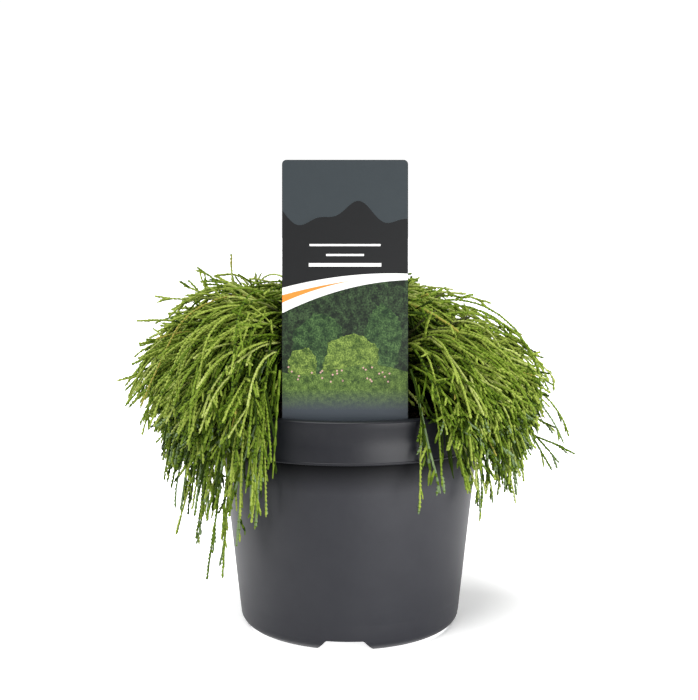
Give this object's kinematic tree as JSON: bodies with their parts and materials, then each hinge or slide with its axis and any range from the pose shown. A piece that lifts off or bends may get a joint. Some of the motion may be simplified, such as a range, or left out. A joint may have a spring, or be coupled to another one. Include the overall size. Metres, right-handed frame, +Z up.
{
  "type": "potted threadleaf cypress",
  "caption": "Low, weeping threadleaf cypress with cord-like foliage in a round nursery pot, with a plain plant label standing inside the rim.",
  "frame": {"origin": "on the pot's axis, on the underside of its foot, where it stands on the ground", "axes": "+Z up along the pot's axis, -Y towards the front, where the label's printed face looks, +X to the viewer's right"},
  "size_m": [0.3215, 0.2744, 0.3163],
  "materials": {
    "pot": "matte anthracite moulded plastic",
    "growing_medium": "damp, crumbly peat mix",
    "plant_label": "printed plastic card with a soft sheen",
    "trunk": "rough red-brown bark",
    "boughs": "rough red-brown bark",
    "foliage": "yellow-green scale leaves with a dull sheen"
  },
  "bodies": {
    "root": {"pot": "pot", "growing_medium": "growing_medium", "plant_label": "plant_label", "trunk": "trunk", "bough_front_right": "boughs", "bough_right": "boughs", "bough_rear_right": "boughs", "bough_back_right": "boughs", "bough_back_left": "boughs", "bough_rear_left": "boughs", "bough_left": "boughs", "bough_front_left": "boughs", "bough_behind_label": "boughs", "bough_top": "boughs", "foliage_front_right": "foliage", "foliage_right": "foliage", "foliage_rear_right": "foliage", "foliage_back_right": "foliage", "foliage_back_left": "foliage", "foliage_rear_left": "foliage", "foliage_left": "foliage", "foliage_front_left": "foliage", "foliage_behind_label": "foliage", "foliage_top": "foliage"}
  },
  "joints": []
}
